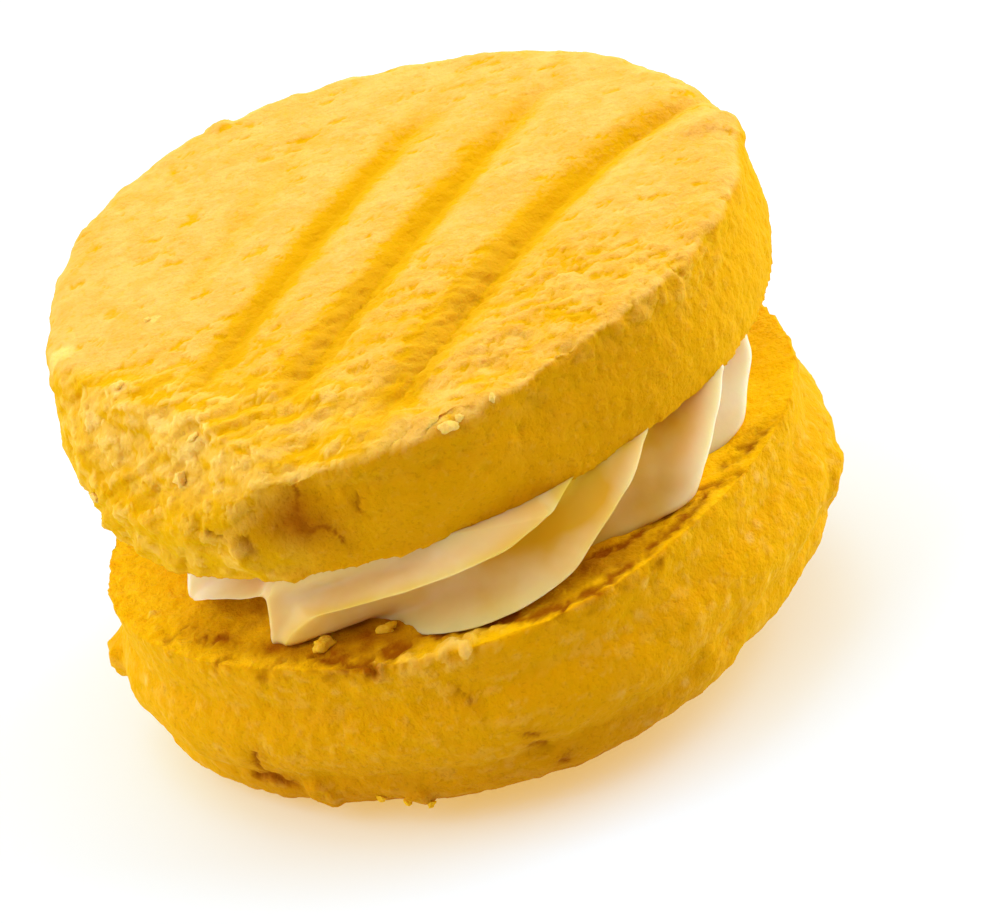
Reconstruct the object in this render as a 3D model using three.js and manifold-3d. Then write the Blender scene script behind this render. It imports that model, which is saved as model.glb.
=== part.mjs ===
// A sandwich biscuit: two thick rounds of custard shortbread, held flat side to flat side by a
// star-piped buttercream filling. The domed side of each round carries the marks of a fork.
// Millimetres, +Z up, the front faces -Y. The origin is on the surface the biscuit rests on, at
// the middle of its overall width and depth.
import * as THREE from "three";
import { mergeVertices } from "three/addons/utils/BufferGeometryUtils.js";
import Module from "manifold-3d";

// How the sandwich sits: it leans a little to -X and rests on a small flat spot.
const LEAN = 5;
const REST_FLAT_DEPTH = 0.7;

// The filling: the height between the two flat sides, and the reach of its folds.
const FILLING_HEIGHT = 6.7;
const TOUCH_GAP = 0.3;
const FOLD_COUNT = 11;
const FIRST_FOLD_ANGLE = -163;
const WIDE_FOLD = 3;
const WIDE_FOLD_EXTRA = 20;
const FOLD_TWIST = 42;
const CREST_RADIUS = 21.8;
const VALLEY_RADIUS = 17.5;
const SQUEEZE = 0.4;
const FILLING_SHIFT = { x: 1.2, y: -1.0 };

// The two rounds. The rim is the corner between side and domed face, the edge is the corner
// between side and flat face; swells make the outline uneven (angles in degrees from +X).
const TOP_ROUND = {
  radius: 25.5,
  thickness: 9.3,
  crown: 0.7,
  faceRings: 12,
  bulge: 0.4,
  edge: 0.7,
  rim: { across: 3.4, down: 3.0 },
  swells: [
    { lobes: 2, height: 0.5, at: 45 },
    { lobes: 3, height: 0.9, at: 0 },
    { lobes: 4, height: 0.35, at: 45 },
  ],
  fork: {
    heading: 55,
    tines: [
      { offset: 11.6, from: -14, to: 14, depth: 0.5, bend: 0 },
      { offset: 4.0, from: -15, to: 17, depth: 1.1, bend: 0 },
      { offset: -3.0, from: -16, to: 18, depth: 1.1, bend: 0.003 },
      { offset: -11.0, from: -18, to: 24, depth: 1.3, bend: 0.024 },
    ],
    width: 3.0,
    fade: 6,
    rubbedOut: null,
  },
  chips: [
    { heading: -143, slope: 47, inset: 3.6 },
    { heading: -168, slope: 56, inset: 2.6 },
    { heading: -118, slope: 60, inset: 2.2 },
  ],
};
const BOTTOM_ROUND = {
  radius: 24.9,
  thickness: 13.2,
  crown: 2.0,
  faceRings: 8,
  bulge: 1.0,
  edge: 0.7,
  rim: { across: 4.0, down: 4.4 },
  swells: [
    { lobes: 2, height: 0.2, at: 135 },
    { lobes: 3, height: 0.2, at: 5 },
    { lobes: 4, height: 0.3, at: -14 },
    { lobes: 5, height: 0.25, at: 18 },
  ],
  fork: {
    heading: 20,
    tines: [
      { offset: 11.2, from: -22, to: 22, depth: 0.8, bend: 0 },
      { offset: 3.8, from: -24, to: 24, depth: 0.9, bend: 0.002 },
      { offset: -3.4, from: -24, to: 24, depth: 0.9, bend: 0.004 },
      { offset: -10.8, from: -22, to: 22, depth: 0.8, bend: 0.008 },
    ],
    width: 3.0,
    fade: 6,
    rubbedOut: { x: -6, y: 0, within: 9, fade: 5 },
  },
  chips: [],
};

// The upper round sits a little back from the lower one and tips forward.
const TOP_SHIFT = { x: 0.3, y: 4.5 };
const TOP_TIP = { forward: 2.0, right: 1.2 };

// How finely the curved surfaces are divided.
const ROUND_SEGMENTS = 96;
const SIDE_RINGS = 4;
const RIM_RINGS = 4;
const FOLD_SEGMENTS = 9;
const FOLD_RINGS = 7;

const radians = THREE.MathUtils.degToRad;
const smooth = THREE.MathUtils.smoothstep;

// A closed geometry with one vertex at each place, so that moving a vertex tears nothing.
function welded(geometry) {
  geometry.deleteAttribute("uv");
  geometry.deleteAttribute("normal");
  return mergeVertices(geometry, 1e-4);
}

// Moves every vertex of a geometry with move(point), which changes the point in place.
function reshape(geometry, move) {
  const places = geometry.getAttribute("position");
  const point = new THREE.Vector3();
  for (let i = 0; i < places.count; i += 1) {
    point.fromBufferAttribute(places, i);
    move(point);
    places.setXYZ(i, point.x, point.y, point.z);
  }
  return geometry;
}

// The half section of a round, from the middle of its flat side to the top of its crown.
function roundProfile({ radius, thickness, crown, faceRings, bulge, edge, rim }) {
  const at = (r, z) => new THREE.Vector2(r, z);
  const shoulder = radius - rim.across;
  const stretches = [
    [new THREE.LineCurve(at(0, 0), at(radius - edge, 0)), 2],
    [new THREE.QuadraticBezierCurve(at(radius - edge, 0), at(radius, 0), at(radius, edge)), 2],
    [
      new THREE.QuadraticBezierCurve(
        at(radius, edge),
        at(radius + 2 * bulge, (edge + thickness - rim.down) / 2),
        at(radius, thickness - rim.down),
      ),
      SIDE_RINGS,
    ],
    [
      new THREE.QuadraticBezierCurve(
        at(radius, thickness - rim.down),
        at(radius, thickness),
        at(shoulder, thickness),
      ),
      RIM_RINGS,
    ],
    [
      new THREE.QuadraticBezierCurve(
        at(shoulder, thickness),
        at(shoulder / 2, thickness + crown),
        at(0, thickness + crown),
      ),
      faceRings,
    ],
  ];
  const points = stretches.flatMap(([curve, parts]) => curve.getPoints(parts).slice(0, -1));
  points.push(at(0, thickness + crown));
  return points;
}

// How far the outline of a round stands out or in at an angle, as a share of its radius.
function outlineAt(angle, { radius, swells }) {
  const height = swells.reduce(
    (sum, swell) => sum + swell.height * Math.cos(swell.lobes * (angle - radians(swell.at))),
    0,
  );
  return 1 + height / radius;
}

// The depth that a fork has pressed at a place on the domed face. The marks are rubbed out
// where the round rests.
function forkDepth(x, y, { heading, tines, width, fade, rubbedOut }) {
  const along = x * Math.cos(radians(heading)) + y * Math.sin(radians(heading));
  const across = -x * Math.sin(radians(heading)) + y * Math.cos(radians(heading));
  const pressed = tines.reduce((depth, tine) => {
    const bent = tine.offset - tine.bend * Math.max(along, 0) ** 2;
    const groove = 1 - smooth(Math.abs(across - bent), 0, width);
    const ends = smooth(along, tine.from, tine.from + fade) * (1 - smooth(along, tine.to, tine.to + fade));
    return depth + tine.depth * groove * ends;
  }, 0);
  if (!rubbedOut) {
    return pressed;
  }
  const away = Math.hypot(x - rubbedOut.x, y - rubbedOut.y);
  return pressed * smooth(away, rubbedOut.within, rubbedOut.within + rubbedOut.fade);
}

// Moves a point that lies outside a chipped-off corner back onto the slope of the chip.
function chipAway(point, { heading, slope, inset }, { radius, thickness }) {
  const out = new THREE.Vector3(
    Math.cos(radians(heading)) * Math.sin(radians(slope)),
    Math.sin(radians(heading)) * Math.sin(radians(slope)),
    Math.cos(radians(slope)),
  );
  const corner = new THREE.Vector3(
    (radius - inset) * Math.cos(radians(heading)),
    (radius - inset) * Math.sin(radians(heading)),
    thickness,
  );
  const beyond = point.clone().sub(corner).dot(out);
  if (beyond > 0) {
    point.addScaledVector(out, -beyond);
  }
}

// One round of shortbread: flat side down at z = 0, domed and fork-marked side up.
function shortbreadRound(sizes) {
  const { radius, thickness, edge, fork, chips } = sizes;
  const blank = new THREE.LatheGeometry(roundProfile(sizes), ROUND_SEGMENTS);
  blank.rotateX(Math.PI / 2);
  return reshape(welded(blank), (point) => {
    const outline = outlineAt(Math.atan2(point.y, point.x), sizes);
    point.x *= outline;
    point.y *= outline;
    const onFace = smooth(point.z, thickness / 2, thickness);
    point.z -= onFace * forkDepth(point.x, point.y, fork);
    if (point.z > edge) {
      chips.forEach((chip) => chipAway(point, chip, { radius, thickness }));
    }
  });
}

// The angle, in degrees, of a fold's crest where it meets the lower round.
function crestAngle(fold) {
  const pitch = (360 - WIDE_FOLD_EXTRA) / FOLD_COUNT;
  return FIRST_FOLD_ANGLE + fold * pitch + (fold >= WIDE_FOLD ? WIDE_FOLD_EXTRA : 0);
}

// The filling between the flat side at z = 0 and the underside of the upper round: a star with
// sharp crests and round valleys. The folds turn as they rise, as the nozzle turned while it
// piped them.
function pipedFilling(undersideAt) {
  const blank = new THREE.CylinderGeometry(1, 1, 1, FOLD_COUNT * FOLD_SEGMENTS, FOLD_RINGS);
  blank.rotateX(Math.PI / 2);
  return reshape(welded(blank), (point) => {
    const rise = point.z + 0.5;
    const around = THREE.MathUtils.euclideanModulo(Math.atan2(point.y, point.x) / (2 * Math.PI), 1);
    const step = Math.round(around * FOLD_COUNT * FOLD_SEGMENTS) / FOLD_SEGMENTS;
    const fold = Math.floor(step);
    const between = step - fold;
    const angle = THREE.MathUtils.lerp(crestAngle(fold), crestAngle(fold + 1), between);
    const star = VALLEY_RADIUS + (CREST_RADIUS - VALLEY_RADIUS) * (1 - Math.sin(Math.PI * between));
    const reach = star + SQUEEZE * Math.sin(Math.PI * rise);
    const turned = radians(angle + FOLD_TWIST * rise);
    const out = Math.hypot(point.x, point.y) * reach;
    point.x = FILLING_SHIFT.x + out * Math.cos(turned);
    point.y = FILLING_SHIFT.y + out * Math.sin(turned);
    const ceiling = undersideAt(point.x, point.y) - TOUCH_GAP;
    point.z = THREE.MathUtils.lerp(TOUCH_GAP, ceiling, rise);
  });
}

// Hands a closed geometry to the solid modeller.
function solidOf(wasm, geometry) {
  return new wasm.Manifold(
    new wasm.Mesh({
      numProp: 3,
      vertProperties: new Float32Array(geometry.getAttribute("position").array),
      triVerts: new Uint32Array(geometry.index.array),
    }),
  );
}

// Takes a solid back as a geometry.
function geometryOf(solid) {
  const { vertProperties, triVerts } = solid.getMesh();
  const geometry = new THREE.BufferGeometry();
  geometry.setAttribute("position", new THREE.BufferAttribute(vertProperties, 3));
  geometry.setIndex(new THREE.BufferAttribute(triVerts, 1));
  return geometry;
}

// Cuts away whatever a mesh has below a height in the part's own frame.
function flattenBelow(wasm, mesh, height) {
  mesh.updateWorldMatrix(true, false);
  const toMesh = mesh.matrixWorld.clone().invert();
  const side = 4 * BOTTOM_ROUND.radius;
  const slab = new THREE.BoxGeometry(side, side, side);
  slab.translate(0, 0, height - side / 2);
  slab.applyMatrix4(toMesh);
  const cut = solidOf(wasm, mesh.geometry).subtract(solidOf(wasm, welded(slab)));
  mesh.geometry = geometryOf(cut);
}

function named(name, geometry, color, roughness) {
  geometry.computeVertexNormals();
  const mesh = new THREE.Mesh(
    geometry,
    new THREE.MeshStandardMaterial({ color, roughness, metalness: 0 }),
  );
  mesh.name = name;
  return mesh;
}

const wasm = await Module();
wasm.setup();

// The lower round lies upside down, its flat side up at the sandwich's own z = 0.
const bottomRound = named("bottom_biscuit", shortbreadRound(BOTTOM_ROUND), "#e3a81c", 0.8);
bottomRound.rotation.x = Math.PI;

const topRound = named("top_biscuit", shortbreadRound(TOP_ROUND), "#f2bc3c", 0.8);
topRound.position.set(TOP_SHIFT.x, TOP_SHIFT.y, FILLING_HEIGHT);
topRound.rotation.set(radians(TOP_TIP.forward), radians(TOP_TIP.right), 0);
topRound.updateMatrix();

const underside = new THREE.Plane(new THREE.Vector3(0, 0, 1), 0).applyMatrix4(topRound.matrix);
const undersideAt = (x, y) =>
  -(underside.constant + underside.normal.x * x + underside.normal.y * y) / underside.normal.z;
const filling = named("cream_filling", pipedFilling(undersideAt), "#f1dcae", 0.5);

const sandwich = new THREE.Group();
sandwich.add(bottomRound, filling, topRound);
sandwich.rotation.y = -radians(LEAN);

const lowest = new THREE.Box3().setFromObject(sandwich, true).min.z;
flattenBelow(wasm, bottomRound, lowest + REST_FLAT_DEPTH);

const size = new THREE.Box3().setFromObject(sandwich, true);
const middle = size.getCenter(new THREE.Vector3());
sandwich.position.set(-middle.x, -middle.y, -size.min.z);

const part = new THREE.Group();
part.add(sandwich);

export default part;
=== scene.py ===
"""A sandwich biscuit: two thick rounds of golden shortbread around a star-piped cream filling."""

import math
import random
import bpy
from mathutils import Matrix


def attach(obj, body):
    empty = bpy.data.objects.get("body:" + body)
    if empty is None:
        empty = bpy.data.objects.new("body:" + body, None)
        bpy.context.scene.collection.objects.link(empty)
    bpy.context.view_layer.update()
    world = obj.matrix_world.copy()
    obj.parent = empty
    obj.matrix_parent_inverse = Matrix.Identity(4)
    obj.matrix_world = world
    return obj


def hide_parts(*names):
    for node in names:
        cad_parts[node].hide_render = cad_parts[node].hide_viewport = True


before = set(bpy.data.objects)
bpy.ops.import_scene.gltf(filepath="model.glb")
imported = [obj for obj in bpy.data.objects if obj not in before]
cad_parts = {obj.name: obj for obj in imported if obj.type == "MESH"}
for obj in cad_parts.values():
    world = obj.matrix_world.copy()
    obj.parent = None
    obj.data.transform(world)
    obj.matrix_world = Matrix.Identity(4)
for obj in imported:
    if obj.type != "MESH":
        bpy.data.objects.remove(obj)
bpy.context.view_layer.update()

from types import SimpleNamespace

import bmesh
import bpy
import numpy as np
from bpy.props import FloatProperty, FloatVectorProperty, PointerProperty
from bpy.types import Operator, Panel, PropertyGroup
from mathutils import Matrix, Vector, noise

bl_info = {
    "name": "Sandwich Biscuit",
    "version": (1, 0, 0),
    "blender": (4, 5, 0),
    "location": "View3D > Sidebar > Biscuit",
    "description": "Two fork-marked rounds of shortbread with a star-piped cream filling",
    "category": "Object",
}

MM = 0.001

# How the sandwich stands: its lean towards -X, and the upper round's place on the lower one.
LEAN = Matrix.Rotation(-math.radians(5.0), 4, "Y")
UPPER_SHIFT = Vector((0.3, 4.5, 0.0)) * MM
UPPER_TIP = Matrix.Rotation(math.radians(2.0), 4, "X") @ Matrix.Rotation(math.radians(1.2), 4, "Y")


def flat_side_middle():
    """The middle of the lower round's flat side, where the triangles of its CAD solid meet."""
    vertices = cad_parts["bottom_biscuit"].data.vertices
    upright = np.array([LEAN.inverted() @ v.co for v in vertices])
    flat = upright[upright[:, 2] > upright[:, 2].max() - 0.2 * MM]
    away = np.linalg.norm(flat - flat.mean(axis=0), axis=1)
    return LEAN @ Vector(flat[away.argmin()])


SANDWICH = Matrix.Translation(flat_side_middle()) @ LEAN


# ---------------------------------------------------------------------------------------------
# Sizes and colours
# ---------------------------------------------------------------------------------------------


def number(name, description, value):
    return FloatProperty(name=name, description=description, default=value)


def length(name, description, millimetres):
    return FloatProperty(
        name=name, description=description, default=millimetres * MM, unit="LENGTH", precision=5
    )


def angle(name, description, degrees):
    return FloatProperty(
        name=name, description=description, default=math.radians(degrees), subtype="ANGLE"
    )


def colour(name, description, red, green, blue):
    return FloatVectorProperty(
        name=name, description=description, default=(red, green, blue), subtype="COLOR", min=0.0, max=1.0
    )


class UpperRoundSizes(PropertyGroup):
    """The upper round, domed and fork-marked side up."""

    radius: length("Radius", "Half the width of the round", 25.5)
    thickness: length("Thickness", "From the flat side to the top of the side wall", 9.3)
    crown: length("Crown", "How much the middle rises above the rim", 0.7)
    bulge: length("Bulge", "How much the side wall stands out half way up", 0.4)
    rim: length("Rim", "How round the corner of the domed side is", 3.0)
    edge: length("Edge", "How round the corner of the flat side is", 0.7)
    grain: length("Grain", "The finest step of the modelled crumb", 0.25)


class LowerRoundSizes(PropertyGroup):
    """The lower round, turned over so that its flat side is up."""

    radius: length("Radius", "Half the width of the round", 24.9)
    thickness: length("Thickness", "From the flat side to the bottom of the side wall", 13.2)
    crown: length("Crown", "How much the middle of the underside stands out", 2.0)
    bulge: length("Bulge", "How much the side wall stands out half way up", 1.0)
    rim: length("Rim", "How round the corner of the domed side is", 4.2)
    edge: length("Edge", "How round the corner of the flat side is", 3.3)
    grain: length("Grain", "The finest step of the modelled crumb", 0.26)


class FillingSizes(PropertyGroup):
    """The piped filling between the flat sides."""

    height: length("Height", "Between the flat sides, in the middle", 6.7)
    valley: length("Valley radius", "How far the valleys between the folds reach", 17.8)
    roundness: FloatProperty(
        name="Roundness", description="How blunt the crests are", default=0.08, min=0.01, max=0.5
    )
    shift: FloatVectorProperty(
        name="Shift",
        description="The filling's middle, from the middle of the lower round",
        default=(1.2 * MM, -1.0 * MM),
        size=2,
        unit="LENGTH",
    )


class BakeColours(PropertyGroup):
    """The colours of the baked crumb and of the cream."""

    # Pale flecks of flour and sugar, and the colour of painted highlights on the upper round.
    pale: colour("Pale crumb", "Flour, sugar and crumb edges that catch the light", 0.95, 0.64, 0.155)
    top: colour("Domed side", "The dough's own colour", 0.81, 0.435, 0.086)
    # Darker and more orange than the domed side: partly a browned rim, partly painted shade on the wall.
    wall: colour("Side wall", "The rim and the side wall", 0.80, 0.382, 0.0005)
    flat: colour("Flat side", "Where the dough lay on the tin", 1.0, 0.57, 0.001)
    # Also the colour of painted shade in hollows, pits, cracks and the fork marks.
    deep: colour("Hollows", "Hollows and fork marks", 0.76, 0.39, 0.0005)
    # Brighter than the skin: partly the torn crumb's own colour, partly painted light on its shaded
    # faces.
    torn: colour("Torn crumb", "The moist inside where a corner broke off, brightened as painted light on its shaded faces", 1.0, 0.58, 0.008)
    # Browned crumb along cracks, and the colour of painted shade on the walls' fronts, in a hollow and
    # under the filling.
    browned: colour("Browned crumb", "Cracks, the bottom edge, and painted shade on the walls' fronts, in a hollow and under the filling", 0.34, 0.095, 0.001)
    cream: colour("Cream", "The buttercream", 0.97, 0.86, 0.58)
    # Painted shade on the cream, yellowed as painted bounce light from the biscuit.
    cream_shade: colour("Cream in shade", "The buttercream deep between the folds", 0.75, 0.44, 0.005)


class StageSettings(PropertyGroup):
    """The camera and the light."""

    azimuth: angle("Azimuth", "Where the camera stands, turned from the front", -2.9)
    elevation: angle("Elevation", "How far the camera looks down", 30.1)
    roll: angle("Roll", "How far the camera is turned about its own view", 13.5)
    distance: length("Distance", "From the camera to what it aims at", 340)
    lens: number("Lens", "Focal length in millimetres", 176.4)
    key: number("Key", "Strength of the light from above and behind", 0.75)
    left: number("Left", "Strength of the light at the left", 1.8)
    right: number("Right", "Strength of the light at the right", 2.35)
    room: colour("Room", "The light from above and behind", 0.92, 0.92, 0.92)
    front: colour("Front", "The light from the maker's side", 0.26, 0.135, 0.05)


class BiscuitSettings(PropertyGroup):
    """Everything that a maker would change."""

    upper: PointerProperty(type=UpperRoundSizes)
    lower: PointerProperty(type=LowerRoundSizes)
    filling: PointerProperty(type=FillingSizes)
    colours: PointerProperty(type=BakeColours)
    stage: PointerProperty(type=StageSettings)


# The unevenness of each round: swells of its outline as lobes, height and angle, the marks of the
# fork, and the corners that broke off. Angles are in degrees from +X and sizes in mm.
UPPER_SWELLS = ((2, 0.5, 45), (3, 0.9, 0), (4, 0.35, 45))
LOWER_SWELLS = ((2, 0.2, 135), (3, 0.2, 5), (4, 0.3, -14), (5, 0.25, 18))

# A tine's mark: its offset from the middle, its slant, where it starts and ends, its depth, and how
# much it bends at the far end.
UPPER_TINES = (
    (10.6, 0.01, -13, 10, 0.25, 0.0),
    (3.4, -0.04, -22, 12, 0.65, 0.0),
    (-3.9, -0.06, -23, 15, 0.80, 0.0),
    (-12.3, -0.10, -25, 15, 1.0, 0.018),
)
LOWER_TINES = (
    (11.2, 0.0, -22, 22, 0.8, 0.0),
    (3.8, 0.01, -24, 24, 0.9, 0.0),
    (-3.4, 0.0, -24, 24, 0.9, 0.0),
    (-10.8, -0.02, -22, 22, 0.8, 0.0),
)
UPPER_HEADING = 55
LOWER_HEADING = 20

# The way that the torn dough's flakes run.
TEAR_WAY = np.array((0.97, -0.12, -0.20)) / math.hypot(0.97, 0.12, 0.20)

# A broken corner: the way it faces, how steep the break is, and how far it reaches in.
UPPER_BREAKS = ((-143, 47, 3.4), (-168, 56, 2.4), (-98, 12, 7.0))

# Lumps of dough on a side wall: angle, height, width and how far they stand out.
UPPER_LUMPS = (
    (-135, 5.6, 2.0, 0.2),
    (-130, 4.9, 1.4, 0.2),
    (-130.5, 3.2, 1.6, 0.2),
    (-140, 3.8, 2.4, 0.2),
    (-142, 0.8, 2.6, 0.3),
    (-137, 0.6, 2.0, 0.3),
    (-132, 0.8, 1.6, 0.3),
    (-150, 1.6, 2.4, 0.3),
    (110, 8.4, 1.8, 0.45),
    (0, 8.4, 2.4, 0.5),
    (-93, 8.4, 11.0, 0.7),
)
LOWER_LUMPS = (
    (-179, -6.4, 2.6, 1.1),
    (-15, -7.8, 3.4, 0.6),
    (-128, -10.6, 2.2, 0.5),
    (-112, -11.4, 1.6, 0.4),
    (-60, -9.5, 2.0, 0.3),
)

# Small torn places on the domed side: x, y, how much longer than wide they are, the radii where the
# tear is whole and where it ends, and how torn they are.
UPPER_TEARS = (
    (13.5, -16.0, 1.2, 3.5, 7.5, 1.0),
    (21.5, -13.7, 1.3, 1.2, 3.0, 0.7),
)

# The hollow in the upper round's wall, darkened with painted shade: its angle, its height, and
# its half width and half height.
UPPER_SCOOP = (-115, 4.6, 2.9, 2.2)
# The raised lip beside it: its angle, and the way it runs on the wall laid flat.
UPPER_LIP_AT = -121.5
UPPER_LIP = ((-0.9, 3.6), (-0.5, 1.6), (0.3, 0.5), (2.4, 0.1))

# Which way each round's wall faces where painted shade darkens it.
UPPER_SHADY_SIDE = -88
LOWER_SHADY_SIDE = -105

# Cracks in a side wall: width, depth, and browning with painted shade in the crack, then the way
# they run as angles and heights. The long crack runs down the front of the upper round.
LONG_CRACK = (
    (-112, 9.0),
    (-112, 7.0),
    (-113, 5.1),
    (-112, 3.6),
    (-110, 4.1),
    (-108, 2.8),
    (-107.5, 1.7),
)
UPPER_CRACKS = (
    (0.09, 0.08, 0.7, LONG_CRACK),
    (0.14, 0.15, 0.5, ((-104, 5.8), (-105, 4.4))),
    (0.16, 0.25, 0.6, ((-127, 4.2), (-124, 3.7))),
    (0.25, 0.20, 0.6, ((-121.5, 3.8), (-121, 2.7))),
)
LOWER_CRACKS = (
    (0.18, 0.3, 1.0, ((-136, -6.7), (-137, -8.1), (-136.6, -9.2))),
    (0.32, 0.4, 1.0, ((-140, -9.7), (-136.5, -9.3), (-133, -9.9))),
    (0.20, 0.15, 0.9, ((-91.5, -7.0), (-90.4, -7.2))),
    (0.22, 0.15, 0.9, ((-91.5, -8.4), (-90, -8.8))),
    (0.20, 0.2, 0.8, ((-88, -10.8), (-87.6, -10.9))),
    (0.14, 0.15, 0.6, ((-99.5, -2.9), (-98, -3.7))),
)

# Cracks in the skin of the lower round's flat side: width, depth, and browning with painted shade
# in the crack, then places on it.
BORDER_CRACK = (
    (0.4, -23.2),
    (2.3, -24.2),
    (4.5, -23.9),
    (6.2, -23.5),
    (7.6, -22.8),
    (9.1, -22.0),
    (10.7, -21.1),
    (12.4, -19.4),
    (13.4, -18.8),
    (15.6, -16.9),
)
INNER_CRACK = (
    (6.9, -19.4),
    (8.8, -19.0),
    (10.6, -18.3),
    (12.6, -17.4),
    (15.4, -15.8),
    (18.2, -15.2),
)
FLAT_CRACKS = (
    (0.34, 0.20, 1.2, BORDER_CRACK),
    (0.24, 0.25, 0.9, INNER_CRACK),
    (0.46, 0.45, 1.3, ((-11.7, -19.8), (-11.2, -21.2), (-10.2, -22.0), (-9.1, -22.7), (-6.9, -22.3))),
    (0.32, 0.25, 1.1, ((-19.4, -12.9), (-18.3, -13.4))),
    (0.24, 0.20, 0.8, ((-18.6, -16.0), (-17.7, -16.3))),
    (0.20, 0.15, 0.7, ((-15.9, -18.6), (-14.8, -18.9), (-12.8, -20.4))),
    (0.20, 0.15, 0.6, ((-21.6, -11.5), (-20.1, -10.9))),
    (0.44, 0.35, 1.2, ((-4.9, -21.0), (-2.5, -22.3), (-1.0, -22.6))),
    (0.34, 0.25, 1.1, ((17.9, -13.6), (19.4, -12.2), (21.4, -10.4))),
)

# Pale flecks of flour and sugar: places, widths and how pale they are.
UPPER_FLECKS = (
    (-22.9, -2.4, 1.9, 0.9),
    (-19.5, -9.6, 0.9, 1.0),
    (-16.1, -2.6, 0.7, 0.8),
    (-15.6, -17.2, 0.8, 0.7),
)
LOWER_FLECKS = (
    (20.8, -14.9, 1.3, 0.9),
    (20.4, -16.8, 1.0, 0.6),
    (-22.7, -7.4, 0.6, 0.6),
    (-8.8, -23.2, 0.9, 0.5),
    (-6.6, -23.9, 1.6, 0.45),
    (-5.5, -24.3, 1.1, 0.35),
    (-4.3, -24.2, 1.3, 0.7),
    (-3.2, -24.5, 1.5, 0.9),
    (-2.0, -24.0, 1.0, 0.5),
    (-0.4, -24.0, 0.9, 0.3),
)

# Crumbs that stick to the rounds: where they sit, and how long and how wide they are.
UPPER_CRUMBS = (
    (0.5, -25.6, 8.4, 1.3, 0.8),
    (1.4, -25.4, 8.6, 0.6, 0.5),
    (3.8, -24.6, 8.8, 0.6, 0.4),
    (-19.5, -9.4, 9.5, 0.8, 0.7),
    (-16.6, -2.4, 9.8, 0.5, 0.4),
    (-15.6, -17.2, 8.6, 0.8, 0.6),
    (-17.8, -18.7, 7.0, 1.0, 0.8),
    (-22.4, -11.5, 3.2, 0.9, 0.7),
)
LOWER_CRUMBS = (
    (-11.6, -18.8, 0.3, 1.7, 1.1),
    (-7.2, -19.3, 0.3, 1.4, 0.9),
    (-11.7, -21.3, -11.6, 0.7, 0.6),
    (-10.1, -22.0, -11.9, 0.8, 0.6),
    (-8.5, -22.6, -11.9, 0.7, 0.5),
)

# The crest of each fold of the filling, from the lower round up: share of the height, angle, radius.
FOLD_CRESTS = (
    (
        (0.0, -166, 18.5),
        (0.12, -160, 21.4),
        (0.20, -158.5, 22.2),
        (0.60, -155, 22.2),
        (1.0, -150, 21.4),
    ),
    (
        (0.0, -164, 18.5),
        (0.12, -159, 21.4),
        (0.20, -158, 22.2),
        (0.36, -150.4, 22.2),
        (0.48, -143.8, 22.2),
        (0.55, -138.3, 22.2),
        (0.62, -135.2, 22.0),
        (1.0, -131, 20.6),
    ),
    (
        (0.0, -136.5, 24.2),
        (0.06, -136, 22.8),
        (0.12, -135.6, 22.3),
        (0.60, -133.8, 22.2),
        (1.0, -128, 21.6),
    ),
    (
        (0.0, -134, 24.0),
        (0.06, -133, 22.8),
        (0.22, -130.5, 22.4),
        (0.45, -125, 22.2),
        (0.51, -119, 22.1),
        (0.57, -114, 22.1),
        (0.64, -107.5, 22.1),
        (0.69, -101.5, 22.0),
        (0.73, -95, 22.0),
        (0.79, -89, 21.9),
        (0.86, -85, 21.8),
        (0.93, -81.5, 21.7),
        (1.0, -78.5, 21.5),
    ),
    (
        (0.0, -105.5, 22.6),
        (0.05, -103, 23.0),
        (0.09, -95.5, 22.9),
        (0.15, -87.5, 22.7),
        (0.24, -80, 22.2),
        (0.50, -71.5, 21.5),
        (0.76, -61, 20.6),
        (1.0, -53, 19.6),
    ),
    ((0.0, -51, 20.8), (0.46, -45.5, 21.9), (0.7, -40, 21.9), (1.0, -30, 21.3)),
    ((0.0, -30, 20.6), (0.25, -24.8, 21.1), (0.7, -19.3, 22.0), (1.0, -14, 21.8)),
)
# How deep the valley after each of those folds is, against the full depth.
VALLEY_DEPTHS = (1.0, 1.0, 0.5, 0.75, 1.0, 1.0, 1.0)
# How much painted shade, with painted yellow bounce light from the biscuit, the cream gets for
# each of those folds: at its crest, and low and high in the valley after it. The folds at the back
# are all alike.
FOLD_SHADE = (
    (0.22, 0.42, 0.42),
    (0.38, 0.54, 0.54),
    (0.58, 0.52, 0.52),
    (0.76, 0.72, 1.0),
    (0.72, 0.84, 0.92),
    (0.28, 0.14, 0.14),
    (0.0, 0.0, 0.0),
)
BACK_SHADE = (0.30, 0.6, 0.7)
# The folds at the back all turn alike.
BACK_FOLDS = (9, 41, 72, 104, 135)
BACK_SWEEP = ((0.0, 0, 21.8), (0.06, 6, 21.9), (0.25, 20, 21.6), (0.5, 31, 21.3), (1.0, 47, 20.0))

# How finely a blank round is made: corners of its outline, and steps across a rounded corner.
BLANK_CORNERS = 160
CORNER_STEPS = 8
# How finely the filling is modelled: columns to a fold, rows up its side, and rounds of smoothing.
FOLD_COLUMNS = 72
FOLD_ROWS = 60
CREST_SOFTENING = 34
# How far the filling sinks into each round, so that no gap shows.
FILLING_SINK = 0.25 * MM

# What is the same all over each material.
BUTTER_YELLOW = (1.0, 0.7, 0.05, 1.0)
CRUMB_FINISH = {
    "Roughness": 0.8,
    "Specular IOR Level": 0.05,
    "Specular Tint": BUTTER_YELLOW,
    "Sheen Weight": 0.06,
    "Sheen Roughness": 0.5,
    "Sheen Tint": BUTTER_YELLOW,
    "Subsurface Weight": 0.40,
    "Subsurface Radius": (1.0, 0.5, 0.1),
    "Subsurface Scale": 0.8 * MM,
}
CREAM_FINISH = {
    "Specular IOR Level": 0.35,
    "Subsurface Weight": 0.7,
    "Subsurface Radius": (1.0, 0.6, 0.25),
    "Subsurface Scale": 2.0 * MM,
}
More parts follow.
